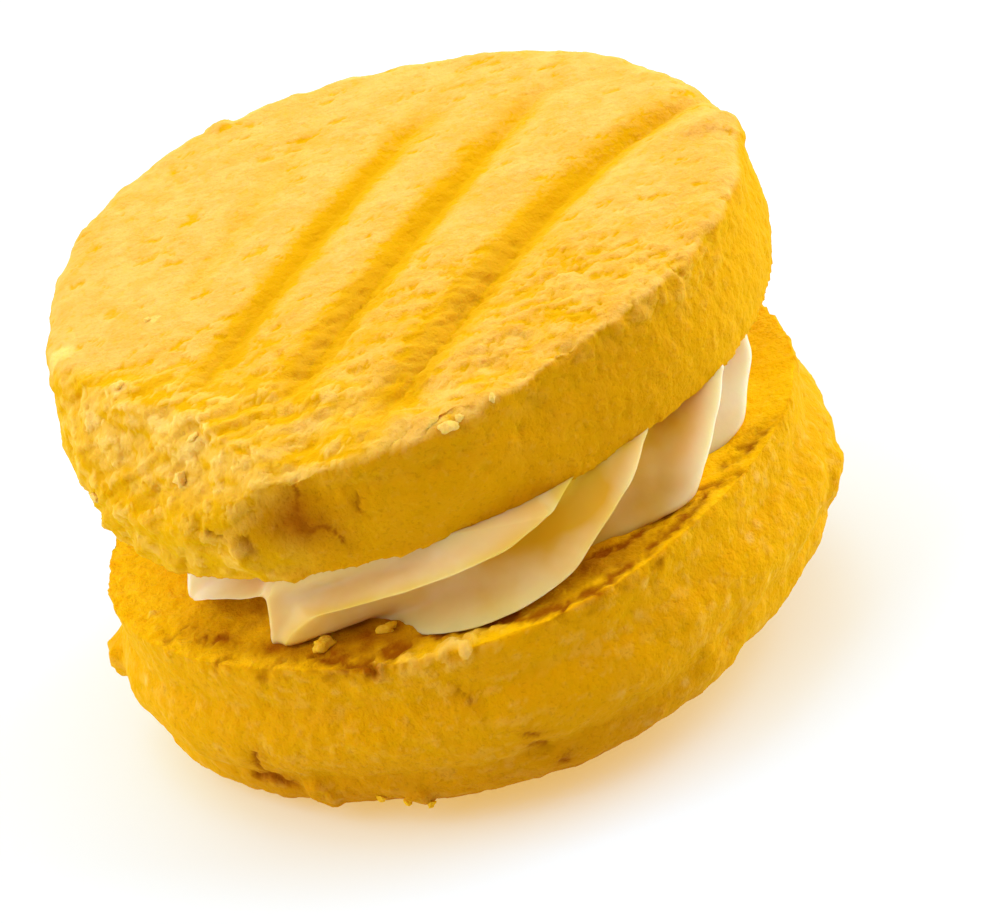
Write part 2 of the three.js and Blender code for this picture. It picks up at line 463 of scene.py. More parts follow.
# The table glows orange on a bluish base: lit, it looks white; in shade, a painted warm glow shows.
TABLE_FINISH = {
    "Emission Color": (0.70, 0.41, 0.09, 1.0),
    "Emission Strength": 1.0,
    "Roughness": 0.9,
    "Specular IOR Level": 0.0,
}

# The lamps: their softness, where they stand and how high in degrees, and their tint.
LAMPS = (
    ("Key", 50, 105, 58, (1.0, 1.0, 0.98)),
    ("Left", 70, 188, 25, (0.95, 1.0, 1.1)),
    ("Right", 60, 12, 23, (0.95, 1.0, 1.1)),
)
# Which way most of the room's light comes from.
ABOVE_AND_BEHIND = (0.0, 0.5, 0.87)
# What the camera aims at: a height above the lower round, then to the right and down in its view.
AIM_HEIGHT = 1.4 * MM
AIM_RIGHT = 4.2 * MM
AIM_DOWN = 1.7 * MM
# The side of the square table top, in metres.
TABLE_WIDTH = 6.0


# ---------------------------------------------------------------------------------------------
# Modelling helpers
# ---------------------------------------------------------------------------------------------


# How far the noise of one seed lies from that of the next, in lumps.
SEED_STEP = 31.7
# The fraction of a large sine makes a grain's place into its random number.
LUCK_WAY = np.array((12.99, 78.23, 37.72))
LUCK_SCALE = 43758.5


def smooth(value, low, high):
    """0 at low and before it, 1 at high and after it, and a soft step between."""
    step = np.clip((value - low) / (high - low), 0.0, 1.0)
    return step * step * (3.0 - 2.0 * step)


def fade(value, low, high):
    """1 at low and before it, 0 at high and after it, and a soft step between."""
    return 1.0 - smooth(value, low, high)


def hump(distance, width):
    """A soft hump: 1 in its middle, and about a third one width away."""
    return np.exp(-((distance / width) ** 2))


def noise_places(points, size, seed):
    """Where each point reads the noise: in lumps of a size, and somewhere else for each seed."""
    return (points / size + SEED_STEP * seed).tolist()


def cloud(points, size, seed, octaves=2):
    """Soft noise from about -1 to 1, with lumps of the given size."""
    places = noise_places(points, size, seed)
    return np.array([noise.fractal(place, 1.0, 2.0, octaves) for place in places])


def grains(points, size, seed):
    """For each point, its distance to the nearest grain's middle in grain sizes, and that grain's
    own random number."""
    places = noise_places(points, size, seed)
    near = np.empty(len(places))
    middle = np.empty((len(places), 3))
    for i, place in enumerate(places):
        distances, middles = noise.voronoi(place)
        near[i] = distances[0]
        middle[i] = middles[0]
    luck = np.modf(np.abs(np.sin(middle @ LUCK_WAY) * LUCK_SCALE))[0]
    return near, luck


def from_axis(points):
    return np.hypot(points[:, 0], points[:, 1])


def upper_half(points, sizes):
    """0 in the lower half of a blank, and up to 1 at its top."""
    return smooth(points[:, 2], 0.5 * sizes.thickness, sizes.thickness)


def places_of(piece):
    flat = np.empty(len(piece.data.vertices) * 3)
    piece.data.vertices.foreach_get("co", flat)
    return flat.reshape(-1, 3)


def normals_of(piece):
    piece.data.update()
    flat = np.empty(len(piece.data.vertices) * 3)
    piece.data.vertex_normals.foreach_get("vector", flat)
    return flat.reshape(-1, 3)


def move_to(piece, points):
    piece.data.vertices.foreach_set("co", points.ravel())
    piece.data.update()


def put(piece, matrix):
    """Puts a piece in its place, and the place in its mesh."""
    piece.data.transform(matrix)
    piece.data.update()


def paint(piece, name, values):
    """Stores one number for each vertex, for the material to read."""
    layer = piece.data.attributes.new(name, "FLOAT", "POINT")
    layer.data.foreach_set("value", np.clip(values, 0.0, 1.0).astype(np.float32))


def start_piece():
    bpy.ops.object.select_all(action="DESELECT")


def finish_piece(piece, material, slot, *nodes):
    """Gives a piece its material, hangs it under the root and hides the CAD parts that it replaces."""
    piece.data.materials.clear()
    piece.data.materials.append(material)
    for polygon in piece.data.polygons:
        polygon.use_smooth = True
    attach(piece, "root")
    if nodes:
        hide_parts(*nodes)


def bevel_ring(piece, height, amount):
    """Rounds the corner that runs round a blank at a height."""
    bpy.ops.object.mode_set(mode="EDIT")
    bpy.ops.mesh.select_all(action="DESELECT")
    mesh = bmesh.from_edit_mesh(piece.data)
    for edge in mesh.edges:
        edge.select_set(all(abs(v.co.z - height) < 0.01 * MM for v in edge.verts))
    bmesh.update_edit_mesh(piece.data)
    bpy.ops.mesh.bevel(offset=amount, segments=CORNER_STEPS, profile=0.5, affect="EDGES")
    bpy.ops.object.mode_set(mode="OBJECT")


def blank_round(name, sizes):
    """A plain round of dough, flat side down at z = 0, with rounded corners and an even skin."""
    start_piece()
    bpy.ops.mesh.primitive_cylinder_add(
        vertices=BLANK_CORNERS,
        radius=sizes.radius,
        depth=sizes.thickness,
        location=(0, 0, sizes.thickness / 2),
    )
    piece = bpy.context.object
    piece.name = name
    bpy.ops.object.transform_apply(location=True)
    bevel_ring(piece, height=sizes.thickness, amount=sizes.rim)
    bevel_ring(piece, height=0.0, amount=sizes.edge)
    skin = piece.modifiers.new("Even skin", "REMESH")
    skin.mode = "VOXEL"
    skin.voxel_size = sizes.grain
    bpy.ops.object.modifier_apply(modifier=skin.name)
    return piece


def swell_outline(points, swells, radius):
    """Makes the outline uneven, with a few wide swells."""
    around = np.arctan2(points[:, 1], points[:, 0])
    grown = sum(high * np.cos(lobes * (around - math.radians(at))) for lobes, high, at in swells)
    points[:, :2] *= (1.0 + grown * MM / radius)[:, None]


def puff_up(points, sizes):
    """Bulges the side wall and domes the top."""
    out = from_axis(points)
    low, high = sizes.edge, sizes.thickness - sizes.rim
    rise = np.clip((points[:, 2] - low) / (high - low), 0.0, 1.0)
    grown = sizes.bulge * 4.0 * rise * (1.0 - rise) * smooth(out, 0.6 * sizes.radius, sizes.radius)
    points[:, :2] *= (1.0 + grown / sizes.radius)[:, None]
    dome = np.clip(1.0 - (out / (sizes.radius - sizes.rim)) ** 2, 0.0, 1.0)
    points[:, 2] += sizes.crown * dome * upper_half(points, sizes)


def turned(points, degrees):
    """Places along and across a heading, in mm."""
    turn = math.radians(degrees)
    along = (points[:, 0] * math.cos(turn) + points[:, 1] * math.sin(turn)) / MM
    across = (points[:, 1] * math.cos(turn) - points[:, 0] * math.sin(turn)) / MM
    return along, across


def sharpen_rim(points, sizes, share):
    """Makes the round corner of the domed side crisper, by a share for each point."""
    out = from_axis(points)
    across = np.maximum((out - (sizes.radius - sizes.rim)) / sizes.rim, 1e-6)
    up = np.maximum((points[:, 2] - (sizes.thickness - sizes.rim)) / sizes.rim, 1e-6)
    power = 2.0 + 4.0 * share
    round_corner = np.sqrt(across**2 + up**2)
    grow = round_corner / (across**power + up**power) ** (1.0 / power)
    corner = (across > 0.001) & (up > 0.001)
    grow = np.where(corner, grow, 1.0)
    new_out = np.where(corner, sizes.radius - sizes.rim + across * grow * sizes.rim, out)
    points[:, :2] *= (new_out / np.maximum(out, 1e-9))[:, None]
    points[:, 2] = np.where(corner, sizes.thickness - sizes.rim + up * grow * sizes.rim, points[:, 2])


def fork_marks(points, heading, tines):
    """The depth of the fork's marks in metres, and each point's share of the painted shade in them."""
    along, across = turned(points, heading)
    ragged = 0.30 * cloud(points, 6.0 * MM, seed=3) + 0.20 * cloud(points, 1.3 * MM, seed=4, octaves=3)
    depth = np.zeros(len(points))
    mark_shade = np.zeros(len(points))
    for offset, slant, start, end, deepest, bend in tines:
        crease = offset + 0.25 + slant * along - bend * np.maximum(along - 4.0, 0.0) ** 2
        side = across + ragged - crease
        width = 1.3 + 0.8 * deepest
        down = np.clip(1.0 - side / width, 0.0, 1.0) ** 1.7
        back_up = np.clip(1.0 + side / 3.0, 0.0, 1.0) ** 1.6
        ends = smooth(along, start, start + 7.0) * fade(along, end, end + 6.0)
        depth += 0.9 * deepest * ends * np.where(side > 0.0, down, back_up)
        # Painted shade in each mark: darkest on its long wall, which faces away from the light.
        above = fade(side, 0.4 * deepest, 1.4 + 2.2 * deepest)
        below = 0.78 * fade(-side, 0.4, 2.2) + 0.22 * fade(-side, 1.0, 4.5)
        far = 1.0 - 0.3 * smooth(along, 2.0, 14.0)
        tone = np.where(side > 0.0, above, below) * ends * far * min(1.0, 1.6 * deepest)
        mark_shade = np.maximum(mark_shade, tone)
    return depth * MM, mark_shade


def ledges(points, heading, drop, size, seed):
    """Torn ledges, from -0.5 to 0.5, that run roughly along a heading and step down across it."""
    along, across = turned(points, heading)
    downhill = -across + drop * (points[:, 2].max() - points[:, 2]) / MM
    place = np.stack((along * 0.35, downhill, 0.6 * points[:, 2] / MM), axis=1) * MM
    step = 0.5 * downhill / size + 1.1 * cloud(place, 2.2 * size * MM, seed, 2)
    step += 0.12 * cloud(points, 0.7 * size * MM, seed + 1)
    share = np.mod(step, 1.0)
    return np.where(share < 0.8, share / 0.8, (1.0 - share) / 0.2) - 0.5


def flakes(points, size, seed):
    """Flakes of torn dough: each has its own level, from -0.5 to 0.5, and stretches along the tear."""
    along = points @ TEAR_WAY
    place = points - 0.62 * along[:, None] * TEAR_WAY
    bent = [cloud(points, 0.9 * size * MM, seed + 20 + axis, 3) for axis in range(3)]
    _, luck = grains(place + 0.5 * size * MM * np.stack(bent, axis=1), size * MM, seed)
    return luck - 0.5


def break_corners(points, breaks, sizes):
    """Moves what stands outside a broken corner back onto the break."""
    rough = 0.5 * MM * cloud(points, 3.2 * MM, seed=11, octaves=3)
    for heading, slope, inset in breaks:
        turn, steep = math.radians(heading), math.radians(slope)
        level = math.sin(steep)
        out = np.array((math.cos(turn) * level, math.sin(turn) * level, math.cos(steep)))
        reach = sizes.radius - inset * MM
        corner = np.array((reach * math.cos(turn), reach * math.sin(turn), sizes.thickness))
        beyond = (points - corner) @ out + rough
        cut = np.where(points[:, 2] > sizes.edge, np.maximum(beyond, 0.0), 0.0)
        points -= cut[:, None] * out


def unroll(points, degrees, radius):
    """The side wall laid flat, in mm, with zero at an angle."""
    around = np.arctan2(points[:, 1], points[:, 0]) - math.radians(degrees)
    around = np.mod(around + math.pi, 2.0 * math.pi) - math.pi
    return np.stack((radius * around / MM, points[:, 2] / MM), axis=1)


def away_from(places, path):
    """The distance of flat places from a line that runs through a list of corners."""
    nearest = np.full(len(places), np.inf)
    for start, end in zip(path, path[1:]):
        start, way = np.array(start), np.array(end) - np.array(start)
        share = np.clip(((places - start) @ way) / (way @ way), 0.0, 1.0)
        nearest = np.minimum(nearest, np.linalg.norm(places - start - share[:, None] * way, axis=1))
    return nearest


def jitter(points, seed):
    """A small crumbly shift of flat places, in mm."""
    shifts = [cloud(points, 0.8 * MM, seed + axis, 3) for axis in range(2)]
    return 0.30 * np.stack(shifts, axis=1)


def wall_cracks(points, cracks, radius, shake):
    """The depth in mm of cracks in a side wall, and their browning with painted shade in the crack."""
    depth = np.zeros(len(points))
    browned = np.zeros(len(points))
    for width, deepest, burnt, path in cracks:
        first = path[0][0]
        corners = [(radius / MM * math.radians(at - first), height) for at, height in path]
        apart = away_from(unroll(points, first, radius) + shake, corners)
        crack = hump(apart, width)
        depth = np.maximum(depth, deepest * crack)
        browned = np.maximum(browned, burnt * (0.75 * crack + 0.25 * hump(apart, 0.8)))
    return depth, browned


def face_cracks(points, cracks, shake):
    """The depth, the browning with painted shade, and the raised outer lip of cracks in a flat side."""
    depth = np.zeros(len(points))
    browned = np.zeros(len(points))
    lip = np.zeros(len(points))
    flat = points[:, :2] / MM + shake
    out = np.linalg.norm(flat, axis=1)
    for width, deepest, burnt, path in cracks:
        apart = away_from(flat, path)
        depth = np.maximum(depth, deepest * hump(apart, width))
        browned = np.maximum(browned, burnt * hump(apart, 1.8 * width))
        inside = away_from(flat * (1.0 - 1.1 / out)[:, None], path)
        lip = np.maximum(lip, deepest * hump(inside, 0.8))
    return depth, browned, lip


def wall_lumps(points, lumps, radius, shake):
    """How far lumps of dough stand out of a side wall, in mm."""
    proud = np.zeros(len(points))
    for at, height, width, most in lumps:
        place = unroll(points, at, radius) + shake - np.array((0.0, height))
        apart = np.linalg.norm(place, axis=1)
        proud = np.maximum(proud, most * fade(apart, 0.35 * width, 0.75 * width))
    return proud * smooth(from_axis(points), 0.82 * radius, 0.94 * radius)


def facing(points, degrees, radius, near, far):
    """1 on the part of the wall that faces a heading, fading out between two distances in mm."""
    return fade(np.abs(unroll(points, degrees, radius)[:, 0]), near, far)


def flecks(points, places, shake):
    """How pale each point is from the flecks that lie on it."""
    share = np.zeros(len(points))
    for x, y, width, pale in places:
        apart = np.linalg.norm(points[:, :2] / MM + shake - np.array((x, y)), axis=1)
        share = np.maximum(share, pale * fade(apart, 0.3 * width, 0.65 * width))
    return share


# ---------------------------------------------------------------------------------------------
# Materials
# ---------------------------------------------------------------------------------------------


def node(tree, kind, **settings):
    made = tree.nodes.new(kind)
    for name, value in settings.items():
        setattr(made, name, value)
    return made


def link(tree, source, target):
    tree.links.new(source, target)


def feed(tree, socket, value):
    """Links a socket to another socket, or sets it to a number or a colour."""
    if isinstance(value, bpy.types.NodeSocket):
        link(tree, value, socket)
    elif hasattr(value, "__len__") and len(value) == 3 and socket.type == "RGBA":
        socket.default_value = (*value, 1.0)
    else:
        socket.default_value = value


def mix(tree, share, low, high):
    made = node(tree, "ShaderNodeMix", data_type="RGBA")
    feed(tree, made.inputs["Factor"], share)
    feed(tree, made.inputs[6], low)
    feed(tree, made.inputs[7], high)
    return made.outputs[2]


def maths(tree, operation, first, second=0.0, clamp=False):
    made = node(tree, "ShaderNodeMath", operation=operation, use_clamp=clamp)
    feed(tree, made.inputs[0], first)
    feed(tree, made.inputs[1], second)
    return made.outputs[0]


def spread(tree, value, low, high, to_low=0.0, to_high=1.0):
    made = node(tree, "ShaderNodeMapRange", interpolation_type="SMOOTHSTEP")
    feed(tree, made.inputs["Value"], value)
    feed(tree, made.inputs["From Min"], low)
    feed(tree, made.inputs["From Max"], high)
    feed(tree, made.inputs["To Min"], to_low)
    feed(tree, made.inputs["To Max"], to_high)
    return made.outputs["Result"]


def noise_in(tree, place, size, detail=2.0, roughness=0.5):
    made = node(tree, "ShaderNodeTexNoise")
    link(tree, place, made.inputs["Vector"])
    made.inputs["Scale"].default_value = 1.0 / size
    made.inputs["Detail"].default_value = detail
    made.inputs["Roughness"].default_value = roughness
    return made.outputs["Fac"]


def painted(tree, name):
    made = node(tree, "ShaderNodeAttribute", attribute_type="GEOMETRY", attribute_name=name)
    return made.outputs["Fac"]


def new_material(name):
    """A material with its node tree and its shader."""
    material = bpy.data.materials.new(name)
    material.use_nodes = True
    tree = material.node_tree
    return material, tree, tree.nodes["Principled BSDF"]


def set_finish(shader, finish):
    """Sets what is the same all over a surface on the shader's own sockets."""
    for name, value in finish.items():
        shader.inputs[name].default_value = value


def add_bump(tree, shader, height, strength, distance):
    """Turns a height in the material into fine relief."""
    bump = node(tree, "ShaderNodeBump")
    bump.inputs["Strength"].default_value = strength
    bump.inputs["Distance"].default_value = distance
    link(tree, height, bump.inputs["Height"])
    link(tree, bump.outputs["Normal"], shader.inputs["Normal"])


def crumb_group():
    """The baked crumb: its colour, and the height of its finest grain."""
    tree = bpy.data.node_groups.new("Baked crumb", "ShaderNodeTree")
    for name in ("Base", "Pale", "Deep", "Browned"):
        tree.interface.new_socket(name=name, in_out="INPUT", socket_type="NodeSocketColor")
    for name in ("Mottle", "Grit", "Pale share", "Deep share", "Browned share"):
        tree.interface.new_socket(name=name, in_out="INPUT", socket_type="NodeSocketFloat")
    for name, kind in (("Color", "NodeSocketColor"), ("Height", "NodeSocketFloat")):
        tree.interface.new_socket(name=name, in_out="OUTPUT", socket_type=kind)
    given = node(tree, "NodeGroupInput").outputs
    place = node(tree, "ShaderNodeTexCoord").outputs["Object"]
    patch = noise_in(tree, place, 2.2 * MM, 4.0, 0.6)
    fleck = noise_in(tree, place, 0.8 * MM, 3.0, 0.6)
    sand = noise_in(tree, place, 0.34 * MM, 2.0, 0.6)

    mottle = maths(tree, "MULTIPLY", spread(tree, patch, 0.40, 0.66), given["Mottle"])
    deep = maths(tree, "MULTIPLY", spread(tree, patch, 0.58, 0.34), 0.22)
    deep = maths(tree, "ADD", deep, maths(tree, "MULTIPLY", spread(tree, sand, 0.58, 0.36), 0.16))
    deep = maths(tree, "ADD", deep, maths(tree, "MULTIPLY", spread(tree, fleck, 0.46, 0.34), 0.30))
    deep = maths(tree, "ADD", deep, given["Deep share"], clamp=True)
    crumbs = maths(tree, "MULTIPLY_ADD", given["Mottle"], 0.5)
    crumbs.node.inputs[2].default_value = 0.07
    crumbs = maths(tree, "MULTIPLY", spread(tree, fleck, 0.56, 0.70), crumbs)
    # The painted shares bring in painted shade and highlights; the noise is the crumb's own tone.
    tone = mix(tree, maths(tree, "ADD", mottle, crumbs), given["Base"], given["Pale"])
    tone = mix(tree, deep, tone, given["Deep"])
    tone = mix(tree, given["Pale share"], tone, given["Pale"])
    specks = maths(tree, "MULTIPLY", spread(tree, sand, 0.44, 0.30), given["Grit"])
    browned = maths(tree, "ADD", given["Browned share"], specks, clamp=True)
    tone = mix(tree, browned, tone, given["Browned"])

    grit_height = maths(tree, "MULTIPLY", sand, 0.7)
    height = maths(tree, "ADD", grit_height, maths(tree, "MULTIPLY", fleck, 1.6))
    leaving = node(tree, "NodeGroupOutput")
    link(tree, tone, leaving.inputs["Color"])
    link(tree, height, leaving.inputs["Height"])
    return tree


def shortbread(name, colours, face, mottle):
    """Shortbread: a matt crumb that lets a little light in."""
    material, tree, principled = new_material(name)
    crumb = bpy.data.node_groups.get("Baked crumb") or crumb_group()
    group = node(tree, "ShaderNodeGroup", node_tree=crumb)
    skin = mix(tree, painted(tree, "wall"), face, colours.wall)
    feed(tree, group.inputs["Base"], mix(tree, painted(tree, "torn"), skin, colours.torn))
    feed(tree, group.inputs["Pale"], colours.pale)
    feed(tree, group.inputs["Deep"], colours.deep)
    feed(tree, group.inputs["Browned"], colours.browned)
    feed(tree, group.inputs["Mottle"], spread(tree, painted(tree, "wall"), 0.0, 1.0, mottle, 0.02))
    feed(tree, group.inputs["Grit"], spread(tree, painted(tree, "wall"), 0.1, 1.0, 0.03, 0.16))
    feed(tree, group.inputs["Pale share"], painted(tree, "pale"))
    feed(tree, group.inputs["Deep share"], painted(tree, "deep"))
    feed(tree, group.inputs["Browned share"], painted(tree, "browned"))
    link(tree, group.outputs["Color"], principled.inputs["Base Color"])
    add_bump(tree, principled, group.outputs["Height"], strength=0.65, distance=0.25 * MM)
    set_finish(principled, CRUMB_FINISH)
    return material


def buttercream(colours):
    """Buttercream: smooth and satin, and light shines into its thin edges."""
    material, tree, principled = new_material("Buttercream")
    place = node(tree, "ShaderNodeTexCoord").outputs["Object"]
    churn = noise_in(tree, place, 6.0 * MM, 3.0)
    silk = noise_in(tree, place, 0.8 * MM, 3.0)
    # The painted share darkens and yellows the cream as painted shade and bounce light; the churn noise
    # is the cream's own uneven tone.
    depth = painted(tree, "deep")
    share = maths(tree, "ADD", depth, spread(tree, churn, 0.35, 0.65, -0.12, 0.12), clamp=True)
    tone = mix(tree, share, colours.cream, colours.cream_shade)
    link(tree, tone, principled.inputs["Base Color"])
    add_bump(tree, principled, silk, strength=0.2, distance=0.12 * MM)
    link(tree, spread(tree, silk, 0.3, 0.7, 0.42, 0.55), principled.inputs["Roughness"])
    set_finish(principled, CREAM_FINISH)
    return material


# ---------------------------------------------------------------------------------------------
# The pieces
# ---------------------------------------------------------------------------------------------


def settings():
    return bpy.context.scene.biscuit


def upper_place():
    """Where the upper round lies on the filling, shifted and tipped."""
    above = Vector((0, 0, settings().filling.height))
    return SANDWICH @ (Matrix.Translation(UPPER_SHIFT + above) @ UPPER_TIP)


def crumble(points, coarse, seed):
    """The relief of the crumb in mm, and how hollow and how proud each point is."""
    near, luck = grains(points, 1.25 * MM, seed)
    lumps = (0.5 - near) * (0.4 + luck) * (0.03 + 0.34 * coarse)
    fine, _ = grains(points, 0.6 * MM, seed + 1)
    sand = (0.5 - fine) * (0.03 + 0.09 * coarse)
    hole, hole_luck = grains(points, 2.1 * MM, seed + 2)
    pits = np.where(hole_luck < 0.35, smooth(hole, 0.3, 0.08), 0.0) * (0.07 + 0.22 * coarse)
    dents = (0.05 + 0.10 * coarse) * cloud(points, 1.7 * MM, seed + 3, 3)
    waves = 0.16 * cloud(points, 7.0 * MM, seed + 4, 2)
    relief = lumps + sand - pits + dents + waves
    hollow = smooth(-(lumps + sand - pits + dents), 0.0, 0.16)
    proud = smooth(lumps + sand + dents, 0.06, 0.2)
    return relief, hollow, proud


def upper_zones(points, normals, sizes, on_top):
    """Which parts of the upper round each point belongs to, as shares from 0 to 1."""
    x, y = points[:, 0] / MM, points[:, 1] / MM
    wall = fade(normals[:, 2], 0.3, 0.8)
    outside = smooth(points[:, 2], 0.0, sizes.edge)
    past_tear = -y - 13.0 - 0.6 * np.maximum(x + 12.0, 0.0) + 0.8 * np.maximum(-x - 12.0, 0.0)
    torn = smooth(past_tear, -1.0, 3.0) * smooth(-x, 2.0, 6.0)
    torn *= 1.0 - wall * fade(-x, 9.5, 15.0)
    torn *= outside
    front = smooth(-y + 2.0 * cloud(points, 5.0 * MM, seed=30), 2.0, 13.0) * on_top
    front *= 1.0 - 0.45 * smooth(x, 8.0, 18.0)
    tears = np.zeros(len(points))
    for tear_x, tear_y, stretch, whole, end, most in UPPER_TEARS:
        apart = np.hypot((x - tear_x) / stretch, y - tear_y)
        tears = np.maximum(tears, most * fade(apart, whole, end) * on_top)
    return SimpleNamespace(
        x=x,
        y=y,
        out=np.hypot(x, y),
        on_top=on_top,
        wall=wall,
        outside=outside,
        torn=torn,
        front=front,
        tears=tears,
    )


def upper_crumb(points, zone, sizes):
    """The upper round's relief in mm, and the flakes, pits and cracks that its colours follow."""
    wall, torn, front, tears = zone.wall, zone.torn, zone.front, zone.tears
    shake = jitter(points, seed=34)
    depth, cracked = wall_cracks(points, UPPER_CRACKS, sizes.radius, shake)
    scoop_at, scoop_height, half_width, half_height = UPPER_SCOOP
    scoop = unroll(points, scoop_at, sizes.radius) - np.array((0.0, scoop_height))
    scoop = np.exp(-((scoop[:, 0] / half_width) ** 2) - (scoop[:, 1] / half_height) ** 2) * wall
    lip = away_from(unroll(points, UPPER_LIP_AT, sizes.radius) + shake, UPPER_LIP)
    lumps = wall_lumps(points, UPPER_LUMPS, sizes.radius, shake)

    big = flakes(points, size=1.5, seed=50)
    small = flakes(points, size=0.8, seed=54)
    tiny = flakes(points, size=0.5, seed=58)
    coarse = np.clip(0.5 * front + 0.3 * tears + 0.40 * wall, 0.0, 1.0) * (1.0 - 0.85 * torn)
    relief, hollow, proud = crumble(points, coarse, seed=40)
    steps = ledges(points, heading=8, drop=0.8, size=2.4, seed=50)
    busy = np.maximum(np.maximum(front, 0.8 * tears), 0.15) * zone.on_top * (1.0 - torn)
    pit = smooth(-tiny, 0.47 - 0.22 * busy, 0.51 - 0.18 * busy) * zone.on_top * (1.0 - torn)
    relief -= 0.10 * pit
    relief += torn * (0.28 * steps + 0.10 * big + 0.21 * small + 0.09 * tiny)
    relief += (1.0 - torn) * (0.20 * tears + 0.05 * front) * small + 0.07 * (front + 0.7 * wall) * tiny
    corner = hump(points[:, 2] / MM - 8.6, 1.3) * smooth(zone.out, 21.0, 24.0)
    relief += 0.30 * corner * cloud(points, 3.0 * MM, seed=62, octaves=3)
    relief += lumps - depth * wall - 0.15 * scoop + 0.40 * hump(lip, 0.6) * wall
    return SimpleNamespace(
        relief=relief,
        shake=shake,
        cracked=cracked,
        scoop=scoop,
        steps=steps,
        big=big,
        small=small,
        tiny=tiny,
        coarse=coarse,
        hollow=hollow,
        proud=proud,
        pit=pit,
    )


def upper_flake_shading(zone, crumb, tip_up):
    """Painted shade on low flakes, pits and crumb tipped down; painted highlight on high flakes and
    tipped-up crumb.
    """
    torn, front, tears, small = zone.torn, zone.front, zone.tears, crumb.small
    low = 0.6 * smooth(-crumb.steps, -0.1, 0.3) + 0.4 * smooth(-crumb.big, 0.0, 0.15)
    low = (low + 0.6 * smooth(-small, 0.0, 0.12)) * torn
    low += smooth(-small, 0.1, 0.3) * np.maximum(0.8 * tears, 0.45 * front) + 0.9 * crumb.pit
    high = smooth(small, 0.14, 0.24) * (0.45 + 0.65 * smooth(crumb.big, -0.1, 0.2))
    high = (high + 0.3 * smooth(crumb.tiny, 0.34, 0.40)) * torn
    high += (0.5 * tears + 0.3 * front) * smooth(small, 0.25, 0.4)
    rough = np.maximum(torn, np.maximum(0.5 * tears, 0.3 * front))
    # Painted shade where the crumb tips down, painted highlight where it tips up.
    low += 0.8 * rough * smooth(-tip_up, 0.03, 0.3)
    high = 0.75 * high + (0.5 - 0.25 * torn) * rough * smooth(tip_up, 0.03, 0.3)
    return low, high


def upper_shares(points, normals, tip_up, mark_shade, zone, crumb, sizes):
    """The shares that the upper round's material reads, by name."""
    on_top, wall, torn, front = zone.on_top, zone.wall, zone.torn, zone.front
    shaded_flake, lit_flake = upper_flake_shading(zone, crumb, tip_up)
    up = smooth(normals[:, 2], 0.5, 0.95)
    mark_shade = mark_shade * (on_top * (1.0 - wall))
    # Painted shade in the crumb's hollows, in the fork marks and on shaded flakes.
    deep = crumb.hollow * (0.22 + 0.4 * crumb.coarse) + 1.22 * mark_shade**1.5
    deep = deep + 0.85 * shaded_flake + 0.05 * front + 0.75 * torn

    # Pale flecks of flour, and painted highlights on lit flakes and on raised crumb.
    flake_highlight = 0.36 + 0.24 * torn * smooth(points[:, 2], 2.0 * MM, 8.0 * MM)
    pale = flecks(points, UPPER_FLECKS, crumb.shake) * on_top
    pale = pale + flake_highlight * lit_flake + 0.10 * crumb.proud * crumb.coarse
    # Painted highlight along the rounded rim at the front and the front edge of the domed side.
    crest = smooth(normals[:, 2], 0.45, 0.75) * fade(normals[:, 2], 0.88, 0.98)
    crest = crest * front * zone.outside
    brim_highlight = smooth(zone.out, 17.0, 22.0) * on_top * (1.0 - wall)
    brim_highlight = brim_highlight * (1.0 - torn) * smooth(-zone.y, 8.0, 14.0)
    pale = (pale + 0.36 * crest + 0.40 * brim_highlight * fade(zone.x, -7.0, -1.0)) * (1.0 - 0.85 * mark_shade)

    # Painted shade in the browned colour: in the scoop, on the wall's front and in the fork marks.
    shady = facing(points, UPPER_SHADY_SIDE, sizes.radius, 12.0, 24.0)
    painted_shade = 0.70 * crumb.scoop + 0.21 * shady * wall * (1.0 - torn) + 0.03 * front + 0.14 * mark_shade**3
    return {
        "wall": np.maximum(wall, 0.3 * front) * (1.0 - 0.85 * torn),
        # More of the brighter torn colour where the torn crumb faces down: painted light on shaded
        # faces.
        "torn": torn * (1.0 - 0.4 * up),
        "deep": deep,
        "pale": pale,
        "browned": crumb.cracked * wall + painted_shade,
    }


class BISCUIT_OT_upper_round(Operator):
    """Shape, mark and bake the upper round"""

    bl_idname = "biscuit.upper_round"
    bl_label = "Upper Round"

    def execute(self, context):
        sizes = settings().upper
        piece = blank_round("upper_round", sizes)
        points = places_of(piece)
        sharpen_rim(points, sizes, smooth(-points[:, 1], -6.0 * MM, 12.0 * MM))
        puff_up(points, sizes)
        swell_outline(points, UPPER_SWELLS, sizes.radius)
        on_top = upper_half(points, sizes)
        marks, mark_shade = fork_marks(points, UPPER_HEADING, UPPER_TINES)
        points[:, 2] -= marks * on_top
        break_corners(points, UPPER_BREAKS, sizes)
        move_to(piece, points)

        normals = normals_of(piece)
        zone = upper_zones(points, normals, sizes, on_top)
        crumb = upper_crumb(points, zone, sizes)
        move_to(piece, points + normals * (crumb.relief * MM)[:, None])
        tip_up = normals_of(piece)[:, 2] - normals[:, 2]
        shares = upper_shares(points, normals, tip_up, mark_shade, zone, crumb, sizes)
        for name, share in shares.items():
            paint(piece, name, share)
        put(piece, upper_place())
        colours = settings().colours
        material = shortbread("Upper shortbread", colours, colours.top, mottle=0.26)
        finish_piece(piece, material, "top_shortbread", "top_biscuit")
        return {"FINISHED"}


